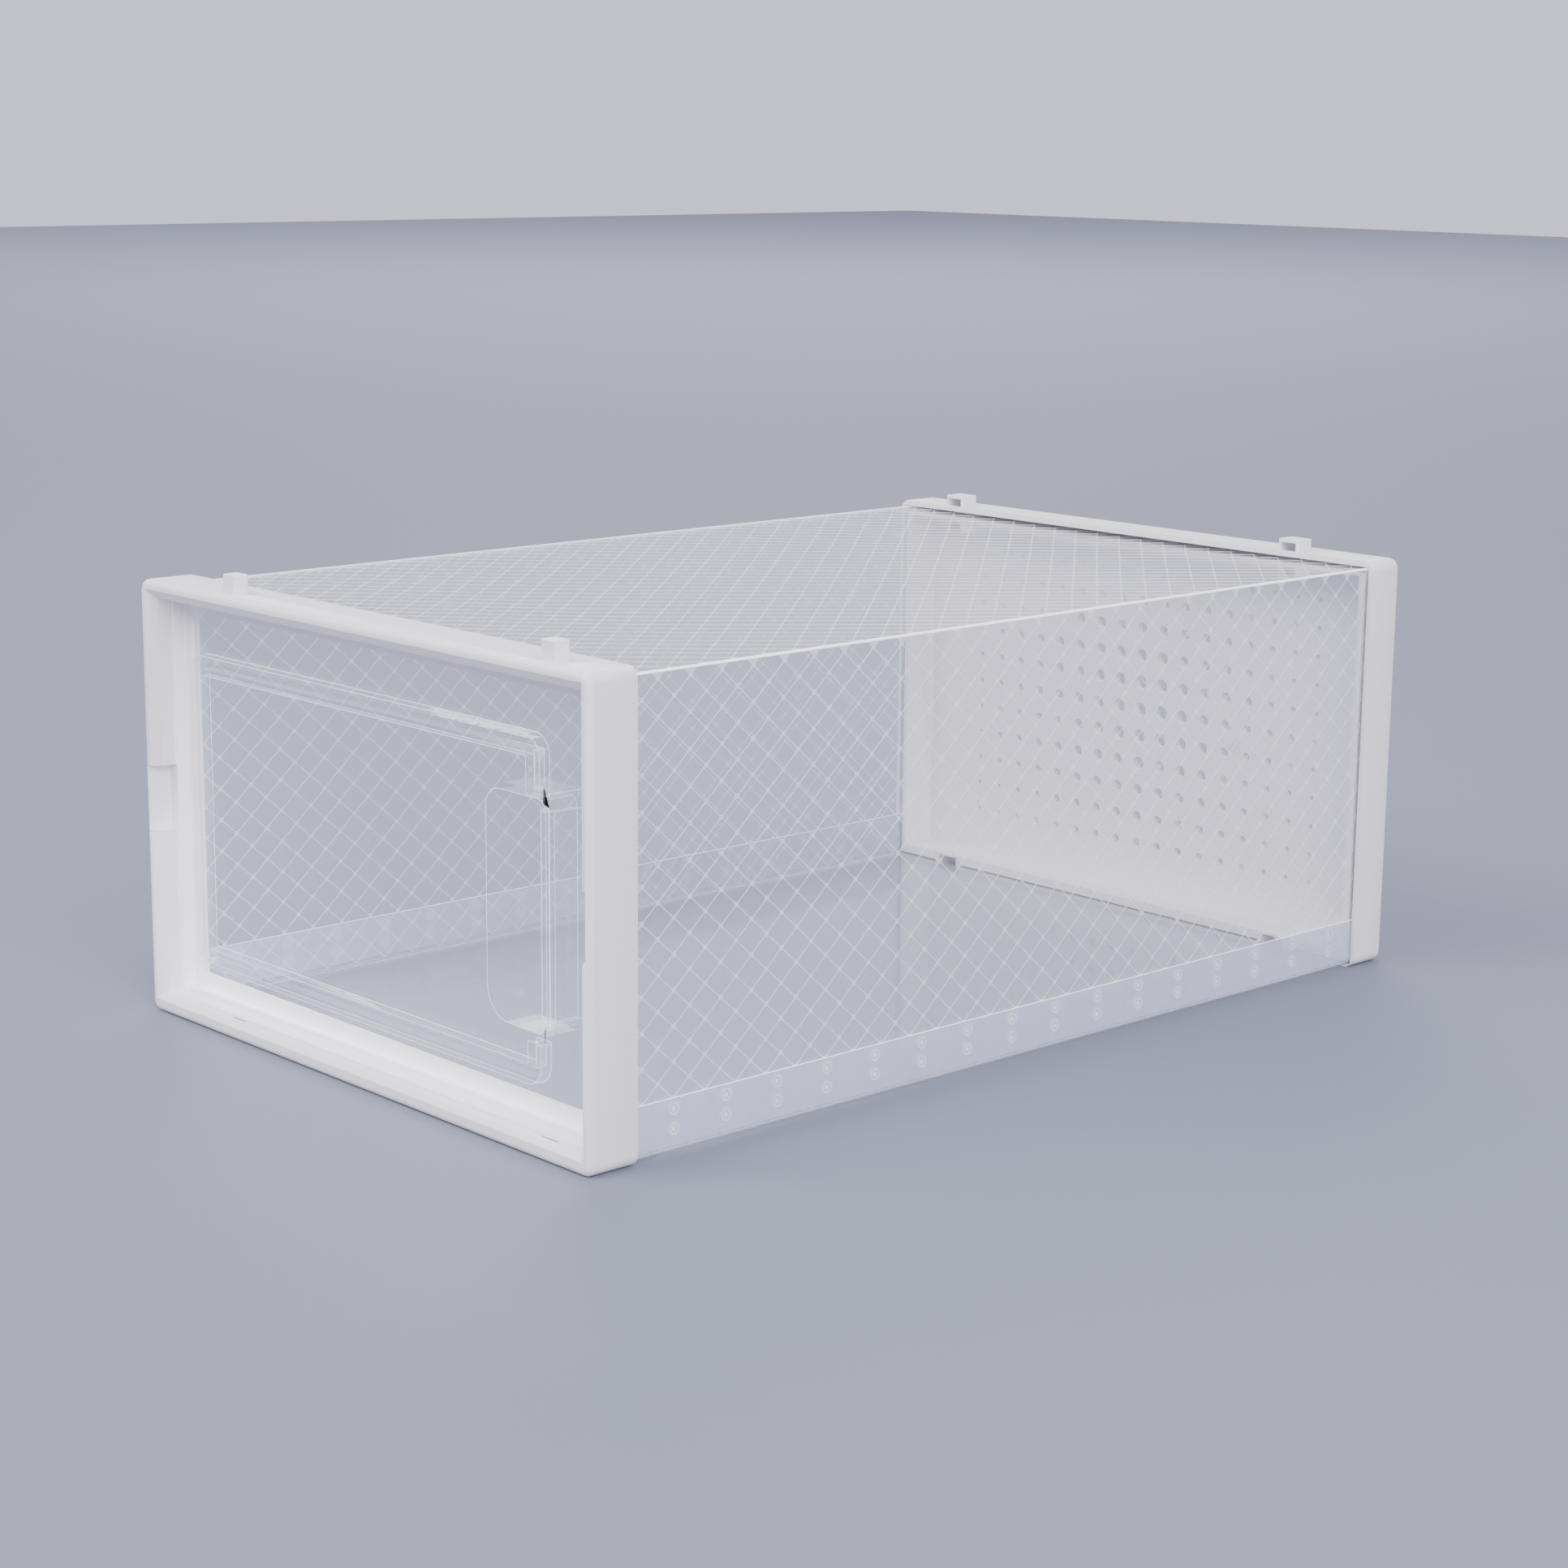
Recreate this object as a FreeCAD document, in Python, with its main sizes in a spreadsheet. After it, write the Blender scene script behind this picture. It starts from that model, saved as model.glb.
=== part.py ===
"""Side-opening shoe box: two white end mouldings, a folded clear sleeve and a clear hinged door.

Frame: X runs along the front, Y from the front to the back, Z up. The origin is the middle of
the footprint, on the surface that the box stands on. Every size is in millimetres.
"""
import math
import os

import FreeCAD
import Part
import Sketcher
from FreeCAD import Vector

SIZES = {
    # the whole box
    "box_width": 215.0,
    "box_depth": 340.0,
    "box_height": 135.0,
    "corner_round": 3.5,
    "rim_round": 2.0,
    # front frame
    "front_depth": 16.5,
    "bar_side": 5.6,
    "bar_bottom": 6.8,
    "bevel": 2.8,
    "stop_setback": 12.6,
    "stop_gauge": 2.0,
    "stop_reach": 4.4,
    "notch_height": 20.0,
    "notch_wall": 1.6,
    "notch_depth": 8.0,
    # stacking pegs on the front frame, and the sockets below it
    "peg_width": 6.2,
    "peg_length": 5.2,
    "peg_height": 5.9,
    "peg_setback": 2.4,
    "peg_round": 0.8,
    "peg_from_left": 45.5,
    "peg_from_right": 19.5,
    "socket_gap": 0.3,
    "socket_spare": 0.3,
    # rear panel
    "rear_depth": 16.0,
    "rear_bar": 5.0,
    "rear_wall": 2.5,
    "rear_rim_round": 3.2,
    "rear_slack": 1.0,
    "vent_pitch": 9.65,
    "vent_side_margin": 28.0,
    "vent_end_margin": 17.0,
    "vent_lift": 2.2,
    "vent_widest": 5.2,
    "vent_narrowest": 1.7,
    "vent_fade_radius": 80.0,
    "vent_fade_power": 1.2,
    # hollow stacking clips on the rear panel
    "clip_width": 8.4,
    "clip_length": 7.3,
    "clip_height": 3.8,
    "clip_wall": 1.1,
    "clip_from_left": 27.3,
    "clip_from_right": 34.3,
    "boss_wall": 1.5,
    "boss_roof": 0.9,
    # sleeve sheets and the slots that hold them
    "sheet_gauge": 0.6,
    "sheet_inset": 2.2,
    "sheet_lift": 1.0,
    "sheet_touch": 0.05,
    "slot_gap": 0.3,
    "slot_spare": 0.5,
    "front_grip": 7.0,
    "rear_grip": 10.0,
    "flap_height": 15.0,
    # weld spots that join each flap to the sleeve's side
    "weld_pitch": 18.8,
    "weld_end_margin": 20.6,
    "weld_low_row": 6.45,
    "weld_row_gap": 5.65,
    "weld_radius": 1.25,
    "weld_ring_radius": 1.75,
    "weld_ring_height": 0.3,
    "weld_dimple_radius": 0.7,
    # door
    "door_gap": 0.6,
    "door_setback": 9.7,
    "door_gauge": 2.0,
    "door_corner": 2.0,
    "hinge_setback": 8.2,
    "hinge_wall_gap": 0.7,
    "barrel_radius": 1.8,
    "pin_radius": 1.2,
    "pin_clearance": 0.06,
    "pin_reach": 1.5,
    "pin_end_gap": 0.3,
    "band_from_left": 16.5,
    "band_from_right": 28.3,
    "band_from_top": 21.4,
    "band_from_bottom": 17.0,
    "band_width": 6.0,
    "band_proud": 3.3,
    "band_wall": 1.6,
    "band_corner": 6.0,
    # finger pocket in the door, and the grip rib along its right edge
    "pocket_from_right": 30.5,
    "pocket_width": 25.5,
    "pocket_from_bottom": 31.0,
    "pocket_from_top": 39.5,
    "pocket_depth": 11.3,
    "pocket_wall": 1.6,
    "pocket_round_low": 9.0,
    "pocket_round_high": 5.5,
    "pocket_round_right": 3.0,
    "rib_width": 2.0,
    "rib_proud": 1.9,
    "rib_end_gap": 2.0,
}

TINY = 0.01
ACROSS = 1.0
FRONT = "(-dim.box_depth / 2)"
BACK = "(dim.box_depth / 2)"
SIDE = "(dim.box_width / 2)"
TOP = "dim.box_height"

doc = FreeCAD.newDocument("shoe_box")
dim = doc.addObject("Spreadsheet::Sheet", "dim")
for row, (alias, size) in enumerate(SIZES.items(), start=1):
    dim.set(f"A{row}", alias)
    dim.set(f"B{row}", str(size))
    dim.setAlias(f"B{row}", alias)
doc.recompute()


# ---------------------------------------------------------------- sketch and feature helpers

def new_body(name):
    """A PartDesign body whose label names its file."""
    body = doc.addObject("PartDesign::Body", name)
    body.Label = name
    return body


def new_sketch(body, name, plane, offset):
    """A sketch on one of the body's origin planes, moved along the plane's normal by a formula."""
    sketch = body.newObject("Sketcher::SketchObject", name)
    origin = next(item for item in body.Origin.OriginFeatures if item.Role == plane)
    sketch.AttachmentSupport = [(origin, "")]
    sketch.MapMode = "FlatFace"
    sketch.setExpression("AttachmentOffset.Base.z", offset)
    return sketch


def pin_coordinate(sketch, name, kind, line, vertex, start, formula):
    """Hold one coordinate of a vertex, measured from the sketch's origin, to a formula."""
    index = sketch.addConstraint(Sketcher.Constraint(kind, -1, 1, line, vertex, start))
    sketch.renameConstraint(index, name)
    sketch.setExpression("Constraints." + name, formula)


def add_rectangle(sketch, tag, left, right, low, high):
    """A rectangle whose four sides follow formulas."""
    first = sketch.GeometryCount
    reach = 10.0 + first
    corners = [Vector(x * reach, y * reach, 0) for x, y in ((-1, -1), (1, -1), (1, 1), (-1, 1))]
    for side in range(4):
        sketch.addGeometry(Part.LineSegment(corners[side], corners[(side + 1) % 4]), False)
    for side in range(4):
        following = first + (side + 1) % 4
        sketch.addConstraint(Sketcher.Constraint("Coincident", first + side, 2, following, 1))
    for side in (0, 2):
        sketch.addConstraint(Sketcher.Constraint("Horizontal", first + side))
        sketch.addConstraint(Sketcher.Constraint("Vertical", first + side + 1))
    pin_coordinate(sketch, tag + "_left", "DistanceX", first, 1, -reach, left)
    pin_coordinate(sketch, tag + "_low", "DistanceY", first, 1, -reach, low)
    pin_coordinate(sketch, tag + "_right", "DistanceX", first + 2, 1, reach, right)
    pin_coordinate(sketch, tag + "_high", "DistanceY", first + 2, 1, reach, high)


def add_rounded(sketch, tag, left, right, low, high, corners):
    """A rectangle whose sides follow formulas, with a radius for each corner.

    The corners run anticlockwise from the low left one.
    """
    first = sketch.GeometryCount
    half = 40.0 - first
    turn = 2.0
    flat = half - turn
    ends = [(-flat, -half), (flat, -half), (half, -flat), (half, flat)]
    ends += [(flat, half), (-flat, half), (-half, flat), (-half, -flat)]
    centres = [(flat, -flat), (flat, flat), (-flat, flat), (-flat, -flat)]
    for side in range(4):
        start = Vector(*ends[2 * side], 0)
        finish = Vector(*ends[2 * side + 1], 0)
        sketch.addGeometry(Part.LineSegment(start, finish), False)
    for corner, centre in enumerate(centres):
        circle = Part.Circle(Vector(*centre, 0), Vector(0, 0, 1), turn)
        angle = (corner - 1) * math.pi / 2
        sketch.addGeometry(Part.ArcOfCircle(circle, angle, angle + math.pi / 2), False)
    for side in range(4):
        arc = first + 4 + side
        following = first + (side + 1) % 4
        sketch.addConstraint(Sketcher.Constraint("Tangent", first + side, 2, arc, 1))
        sketch.addConstraint(Sketcher.Constraint("Tangent", arc, 2, following, 1))
    for side in (0, 2):
        sketch.addConstraint(Sketcher.Constraint("Horizontal", first + side))
        sketch.addConstraint(Sketcher.Constraint("Vertical", first + side + 1))
    pin_coordinate(sketch, tag + "_low", "DistanceY", first, 1, -half, low)
    pin_coordinate(sketch, tag + "_right", "DistanceX", first + 1, 1, half, right)
    pin_coordinate(sketch, tag + "_high", "DistanceY", first + 2, 1, half, high)
    pin_coordinate(sketch, tag + "_left", "DistanceX", first + 3, 1, -half, left)
    low_left, low_right, high_right, high_left = corners
    for place, formula in enumerate((low_right, high_right, high_left, low_left)):
        size = sketch.addConstraint(Sketcher.Constraint("Radius", first + 4 + place, turn))
        name = f"{tag}_round_{place}"
        sketch.renameConstraint(size, name)
        sketch.setExpression("Constraints." + name, formula)


def add_circle(sketch, tag, across, up, radius):
    """A circle whose centre and radius follow formulas."""
    index = sketch.addGeometry(Part.Circle(Vector(5, 5, 0), Vector(0, 0, 1), 1.0), False)
    pin_coordinate(sketch, tag + "_across", "DistanceX", index, 3, 5.0, across)
    pin_coordinate(sketch, tag + "_up", "DistanceY", index, 3, 5.0, up)
    size = sketch.addConstraint(Sketcher.Constraint("Radius", index, 1.0))
    sketch.renameConstraint(size, tag + "_radius")
    sketch.setExpression("Constraints." + tag + "_radius", radius)


def extrude(body, kind, sketch, length, backwards):
    """A Pad or a Pocket of a sketch, with its length from a formula."""
    before = body.Tip.Shape.Volume if body.Tip and body.Tip.TypeId != "Sketcher::SketchObject" else 0.0
    feature = body.newObject("PartDesign::" + kind, sketch.Name + "_" + kind.lower())
    feature.Profile = sketch
    feature.Reversed = backwards
    feature.setExpression("Length", length)
    doc.recompute()
    changed = feature.Shape.Volume - before
    if (changed <= 0) == (kind == "Pad"):
        raise RuntimeError(f"{feature.Name} changed nothing or went the wrong way")
    return feature


def draw_outlines(sketch, outlines):
    """Draw rectangles, rounded where an outline has a fifth entry for its corners."""
    for tag, outline in zip(("outer", "inner"), outlines):
        if len(outline) == 5:
            add_rounded(sketch, tag, *outline)
        else:
            add_rectangle(sketch, tag, *outline)


def pad_back(body, name, front_face, length, *outlines):
    """Pad outlines drawn on the XZ plane towards +Y, from the plane that front_face gives."""
    sketch = new_sketch(body, name, "XZ_Plane", f"-({front_face})")
    draw_outlines(sketch, outlines)
    return extrude(body, "Pad", sketch, length, True)


def pocket_back(body, name, front_face, length, *outlines):
    """Cut outlines drawn on the XZ plane towards +Y, from the plane that front_face gives."""
    sketch = new_sketch(body, name, "XZ_Plane", f"-({front_face})")
    draw_outlines(sketch, outlines)
    return extrude(body, "Pocket", sketch, length, False)


def extrude_up(body, kind, name, low, length, *rectangles):
    """Pad or cut rectangles drawn on the XY plane upwards, from a height that a formula gives."""
    sketch = new_sketch(body, name, "XY_Plane", low)
    for tag, box in zip(("first", "second"), rectangles):
        add_rectangle(sketch, tag, *box)
    return extrude(body, kind, sketch, length, kind == "Pocket")


def edges_where(feature, test):
    """The names of a feature's straight edges whose two ends pass a test."""
    found = []
    for number, edge in enumerate(feature.Shape.Edges, start=1):
        ends = [vertex.Point for vertex in edge.Vertexes]
        if len(ends) == 2 and test(*ends):
            found.append(f"Edge{number}")
    return found


def soften(body, kind, size_property, formula, test, expected):
    """Fillet or chamfer the edges of the body's tip that pass a test."""
    base = body.Tip
    names = edges_where(base, test)
    if len(names) != expected:
        raise RuntimeError(f"{base.Name}: {len(names)} edges to soften, not {expected}")
    feature = body.newObject("PartDesign::" + kind, base.Name + "_" + kind.lower())
    feature.Base = (base, names)
    feature.setExpression(size_property, formula)
    doc.recompute()
    return feature


def along_y(start, end):
    """True for an edge that runs from front to back."""
    return abs(start.y - end.y) > ACROSS and abs(start.x - end.x) < TINY and abs(start.z - end.z) < TINY


def upright(start, end):
    """True for a vertical edge."""
    return abs(start.z - end.z) > ACROSS and abs(start.x - end.x) < TINY and abs(start.y - end.y) < TINY


def near(first, second):
    """True for two equal lengths."""
    return abs(first - second) < TINY


# ---------------------------------------------------------------- shared outlines

FULL_FACE = (f"-{SIDE}", SIDE, "0", TOP)
APERTURE = (
    f"-{SIDE} + dim.bar_side",
    f"{SIDE} - dim.bar_side",
    "dim.bar_bottom",
    f"{TOP} - dim.bar_side",
)
SHEET_END_FRONT = f"({FRONT} + dim.front_depth - dim.front_grip)"
SHEET_END_BACK = f"({BACK} - dim.rear_depth + dim.rear_grip)"
FRAME_BACK = f"({FRONT} + dim.front_depth)"
CAP_FRONT = f"({BACK} - dim.rear_depth)"
SLOT_OUTER = (
    f"-{SIDE} + dim.sheet_inset - dim.sheet_touch - dim.sheet_gauge - dim.slot_gap",
    f"{SIDE} - dim.sheet_inset + dim.sheet_touch + dim.sheet_gauge + dim.slot_gap",
    "dim.sheet_lift - dim.slot_gap",
    f"{TOP} - dim.sheet_inset + dim.slot_gap",
)
SLOT_INNER = (
    f"-{SIDE} + dim.sheet_inset + dim.sheet_gauge + dim.slot_gap",
    f"{SIDE} - dim.sheet_inset - dim.sheet_gauge - dim.slot_gap",
    "dim.sheet_lift + dim.sheet_gauge + dim.slot_gap",
    f"{TOP} - dim.sheet_inset - dim.sheet_gauge - dim.slot_gap",
)
PEG_CENTRES = (f"-{SIDE} + dim.peg_from_left", f"{SIDE} - dim.peg_from_right")
CLIP_CENTRES = (f"-{SIDE} + dim.clip_from_left", f"{SIDE} - dim.clip_from_right")
PEG_FRONT = f"{FRONT} + dim.peg_setback"
BOSS_TOP = "(dim.clip_height + dim.socket_spare + dim.boss_roof)"
HINGE_X = f"(-{SIDE} + dim.bar_side + dim.hinge_wall_gap + dim.barrel_radius)"
HINGE_Y = f"({FRONT} + dim.hinge_setback)"
DOOR_LOW = "(dim.bar_bottom + dim.door_gap)"
DOOR_HIGH = f"({TOP} - dim.bar_side - dim.door_gap)"


def around(centre, width, front, length, extra):
    """An XY rectangle about a centre line, grown by extra on every side."""
    return (
        f"{centre} - ({width}) / 2 - ({extra})",
        f"{centre} + ({width}) / 2 + ({extra})",
        f"{front} - ({extra})",
        f"{front} + ({length}) + ({extra})",
    )


# ---------------------------------------------------------------- boxes and booleans

def block(name, size, corner):
    """A box from three size formulas and three corner formulas."""
    made = doc.addObject("Part::Box", name)
    for prop, formula in zip(("Length", "Width", "Height"), size):
        made.setExpression(prop, formula)
    for axis, formula in zip("xyz", corner):
        made.setExpression("Placement.Base." + axis, formula)
    return made


def cut(name, base, *tools):
    """One shape with others taken away."""
    return combine("Part::Cut", name, base, tools)


def common(name, base, *zones):
    """The share of a shape that lies inside any of the zones."""
    return combine("Part::Common", name, base, zones)


def combine(kind, name, base, tools):
    """A boolean of one shape with one or several tools."""
    tool = tools[0]
    if len(tools) > 1:
        tool = doc.addObject("Part::MultiFuse", name + "_tools")
        tool.Shapes = list(tools)
    made = doc.addObject(kind, name)
    made.Label = name
    made.Base = base
    made.Tool = tool
    return made


# ---------------------------------------------------------------- front frame

def make_front_frame():
    """A picture frame with a bevelled mouth, a stop for the door and a slot for the sleeve."""
    body = new_body("front_frame")
    pad_back(body, "frame_block", FRONT, "dim.front_depth", FULL_FACE)
    soften(body, "Fillet", "Radius", "dim.corner_round", along_y, 4)
    front = -dim.box_depth / 2

    def on_front(start, end):
        return near(start.y, front) and near(end.y, front)

    rim_test_edges = 8
    soften(body, "Fillet", "Radius", "dim.rim_round", on_front, rim_test_edges)
    pocket_back(body, "mouth", FRONT, "dim.front_depth", APERTURE)
    half_mouth = dim.box_width / 2 - dim.bar_side

    def mouth_edge(start, end):
        return on_front(start, end) and max(abs(start.x), abs(end.x)) < half_mouth + TINY

    soften(body, "Chamfer", "Size", "dim.bevel", mouth_edge, 4)
    pocket_back(
        body, "sleeve_slot", f"{SHEET_END_FRONT} - dim.slot_spare",
        "dim.front_grip + dim.slot_spare", SLOT_OUTER, SLOT_INNER,
    )
    left, right, low, high = APERTURE
    grow = "dim.notch_wall"
    pad_back(
        body, "door_stop", f"{FRONT} + dim.stop_setback", "dim.stop_gauge",
        (f"{left} - {grow}", f"{right} + {grow}", f"{low} - {grow}", f"{high} + {grow}"),
        (
            f"{left} + dim.stop_reach", f"{right} - dim.stop_reach",
            f"{low} + dim.stop_reach", f"{high} - dim.stop_reach",
        ),
    )
    cut_notches(body)
    cut_hinge_sockets(body)
    add_pegs(body)
    return body


def cut_notches(body):
    """A shallow recess half-way up each upright, behind a thin outer wall."""
    middle = f"{TOP} / 2"
    low = f"{middle} - dim.notch_height / 2"
    high = f"{middle} + dim.notch_height / 2"
    pocket_back(
        body, "notches", FRONT, "dim.notch_depth",
        (f"-{SIDE} + dim.notch_wall", f"-{SIDE} + dim.bar_side", low, high),
        (f"{SIDE} - dim.bar_side", f"{SIDE} - dim.notch_wall", low, high),
    )


def cut_hinge_sockets(body):
    """A blind hole above and below the door for its two pins."""
    radius = "dim.pin_radius + dim.pin_clearance"
    depth = "dim.pin_reach + dim.pin_end_gap"
    for name, start in (
        ("hinge_hole_low", f"dim.bar_bottom - ({depth})"),
        ("hinge_hole_high", f"{TOP} - dim.bar_side"),
    ):
        sketch = new_sketch(body, name, "XY_Plane", start)
        add_circle(sketch, "hole", HINGE_X, HINGE_Y, radius)
        extrude(body, "Pocket", sketch, depth, True)


def add_pegs(body):
    """Two rounded pegs on the top edge, and the blind sockets under the bottom edge."""
    pegs = [around(x, "dim.peg_width", PEG_FRONT, "dim.peg_length", "0") for x in PEG_CENTRES]
    extrude_up(body, "Pad", "pegs", TOP, "dim.peg_height", *pegs)
    top = dim.box_height

    def peg_upright(start, end):
        return upright(start, end) and min(start.z, end.z) > top - TINY

    soften(body, "Fillet", "Radius", "dim.peg_round", peg_upright, 8)
    peg_top = dim.box_height + dim.peg_height

    def peg_rim(start, end):
        return near(start.z, peg_top) and near(end.z, peg_top)

    soften(body, "Fillet", "Radius", "dim.peg_round / 2", peg_rim, 16)
    sockets = [around(x, "dim.peg_width", PEG_FRONT, "dim.peg_length", "dim.socket_gap") for x in PEG_CENTRES]
    extrude_up(body, "Pocket", "peg_sockets", "0", "dim.peg_height + dim.socket_spare", *sockets)


# ---------------------------------------------------------------- rear panel

def make_rear_panel():
    """A shallow cap with a vented back wall, a slot for the sleeve and two hollow clips.

    The slot is deeper along the top, which leaves room for a sheet that sags in the middle.
    """
    body = new_body("rear_panel_solid")
    pad_back(body, "cap_block", CAP_FRONT, "dim.rear_depth", FULL_FACE)
    soften(body, "Fillet", "Radius", "dim.corner_round", along_y, 4)
    back = dim.box_depth / 2

    def on_back(start, end):
        return near(start.y, back) and near(end.y, back)

    soften(body, "Fillet", "Radius", "dim.rear_rim_round", on_back, 8)
    pocket_back(
        body, "cap_hollow", CAP_FRONT, "dim.rear_depth - dim.rear_wall",
        (f"-{SIDE} + dim.rear_bar", f"{SIDE} - dim.rear_bar", "dim.rear_bar", f"{TOP} - dim.rear_bar"),
    )
    pocket_back(
        body, "cap_slot", CAP_FRONT, "dim.rear_grip + dim.slot_spare",
        SLOT_OUTER, SLOT_INNER[:3] + (f"{SLOT_INNER[3]} - dim.rear_slack",),
    )
    add_clip_bosses(body)
    add_clips(body)
    vents = doc.addObject("Part::Feature", "vent_cutters")
    vents.Shape = vent_cutters()
    panel = doc.addObject("Part::Cut", "rear_panel_vented")
    panel.Base = body
    panel.Tool = vents
    doc.recompute()
    return divide_rear_panel(panel)


def divide_rear_panel(panel):
    """Divide the moulding into its back wall, clips, bottom bar, clip sockets and arch.

    They are one piece of plastic. Each is a simpler shape on its own, and none overlaps.
    """
    wide = "dim.box_width + 2 * dim.rear_depth"
    corner_x = f"-{SIDE} - dim.rear_depth"
    tall = "dim.box_height + 4 * dim.clip_height"
    corner_z = "-dim.clip_height"
    wall = block(
        "wall_zone", (wide, "dim.rear_depth", tall), (corner_x, f"{BACK} - dim.rear_wall", corner_z),
    )
    above = block(
        "clip_zone", (wide, "3 * dim.rear_depth", "2 * dim.clip_height"),
        (corner_x, f"{CAP_FRONT} - dim.rear_depth", TOP),
    )
    below = block(
        "sill_zone", (wide, "3 * dim.rear_depth", f"{BOSS_TOP} + dim.clip_height"),
        (corner_x, f"{CAP_FRONT} - dim.rear_depth", corner_z),
    )
    grow = "(dim.socket_gap + dim.boss_wall)"
    sockets = [
        block(
            "socket_zone_" + side,
            (f"dim.clip_width + 2 * {grow}", "3 * dim.rear_depth", f"{BOSS_TOP} + dim.clip_height"),
            (f"{centre} - dim.clip_width / 2 - {grow}", f"{CAP_FRONT} - dim.rear_depth", corner_z),
        )
        for side, centre in zip(("left", "right"), CLIP_CENTRES)
    ]
    rim = cut("rear_rim", panel, wall, above)
    rim_low = common("rear_rim_low", rim, below)
    return [
        common("rear_wall", panel, wall), common("rear_clips", panel, above),
        cut("rear_sill", rim_low, *sockets), common("rear_sockets", rim_low, *sockets),
        cut("rear_arch", rim, below),
    ]


def clip_rectangles(extra):
    """The footprints of the two clips, grown by a formula."""
    return [around(x, "dim.clip_width", CAP_FRONT, "dim.clip_length", extra) for x in CLIP_CENTRES]


def add_clip_bosses(body):
    """Blocks inside the cap's bottom edge, each with a socket for the clip of the box below."""
    grow = "dim.socket_gap + dim.boss_wall"
    blocks = [
        around(x, f"dim.clip_width + 2 * ({grow})", CAP_FRONT, f"dim.clip_length + {grow}", "0")
        for x in CLIP_CENTRES
    ]
    extrude_up(body, "Pad", "clip_bosses", "0", BOSS_TOP, *blocks)
    extrude_up(
        body, "Pocket", "clip_sockets", "0", "dim.clip_height + dim.socket_spare",
        *clip_rectangles("dim.socket_gap"),
    )


def add_clips(body):
    """Two hollow clips on the cap's front top edge, open to the front and down into the slot."""
    extrude_up(body, "Pad", "clips", TOP, "dim.clip_height", *clip_rectangles("0"))
    top = dim.box_height

    def clip_upright(start, end):
        return upright(start, end) and min(start.z, end.z) > top - TINY

    soften(body, "Fillet", "Radius", "dim.peg_round", clip_upright, 8)
    hollows = [
        around(x, "dim.clip_width - 2 * dim.clip_wall", CAP_FRONT, "dim.clip_length - dim.clip_wall", "0")
        for x in CLIP_CENTRES
    ]
    extrude_up(body, "Pocket", "clip_hollows", TOP, "dim.clip_height - dim.clip_wall", *hollows)
    shafts = [
        around(
            x, "dim.clip_width - 2 * dim.clip_wall", f"{CAP_FRONT} + dim.clip_wall",
            "dim.clip_length - 2 * dim.clip_wall", "0",
        )
        for x in CLIP_CENTRES
    ]
    skin = "(dim.sheet_inset - dim.slot_gap)"
    extrude_up(body, "Pocket", "clip_shafts", f"{TOP} - {skin}", skin, *shafts)


def vent_cutters():
    """Cylinders on a square grid, widest in the middle of the panel and fading outwards."""
    pitch = dim.vent_pitch
    columns = math.floor((dim.box_width / 2 - dim.vent_side_margin) / pitch)
    rows = math.floor((dim.box_height / 2 - dim.vent_end_margin) / pitch)
    start = dim.box_depth / 2 - 2 * dim.rear_wall
    cutters = []
    for column in range(-columns, columns + 1):
        for step in range(-rows, rows + 1):
            away = min(1.0, math.hypot(column * pitch, step * pitch) / dim.vent_fade_radius)
            faded = away ** dim.vent_fade_power
            width = dim.vent_widest + (dim.vent_narrowest - dim.vent_widest) * faded
            centre = Vector(column * pitch, start, dim.box_height / 2 + dim.vent_lift + step * pitch)
            cutters.append(Part.makeCylinder(width / 2, 3 * dim.rear_wall, centre, Vector(0, 1, 0)))
    return Part.makeCompound(cutters)


# ---------------------------------------------------------------- sleeve

SLEEVE_RUN = f"({SHEET_END_BACK} - {SHEET_END_FRONT})"
WRAP_SIDE = f"({SIDE} - dim.sheet_inset)"
WRAP_TOP = f"({TOP} - dim.sheet_inset)"
FLAP_SIDE = f"({WRAP_SIDE} + dim.sheet_touch + dim.sheet_gauge)"
WRAP_LOW = "(dim.sheet_lift + dim.sheet_gauge + dim.sheet_touch)"


def channel(name, half_width, low, high, inner_half_width, inner_low, inner_high):
    """A long open channel: a solid bar with a smaller bar taken out of it."""
    outer = block(
        name + "_outside",
        (f"2 * {half_width}", SLEEVE_RUN, f"{high} - {low}"),
        (f"-{half_width}", SHEET_END_FRONT, low),
    )
    inner = block(
        name + "_inside",
        (f"2 * {inner_half_width}", SLEEVE_RUN, f"{inner_high} - {inner_low}"),
        (f"-{inner_half_width}", SHEET_END_FRONT, inner_low),
    )
    return cut(name, outer, inner)


def make_top_sheet(spots):
    """The clear sheet that is folded over the left side, the top and the right side."""
    folded = channel(
        "top_sheet_plain", WRAP_SIDE, WRAP_LOW, WRAP_TOP,
        f"({WRAP_SIDE} - dim.sheet_gauge)", "0", f"({WRAP_TOP} - dim.sheet_gauge)",
    )
    return cut("top_sheet", folded, spots)


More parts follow.
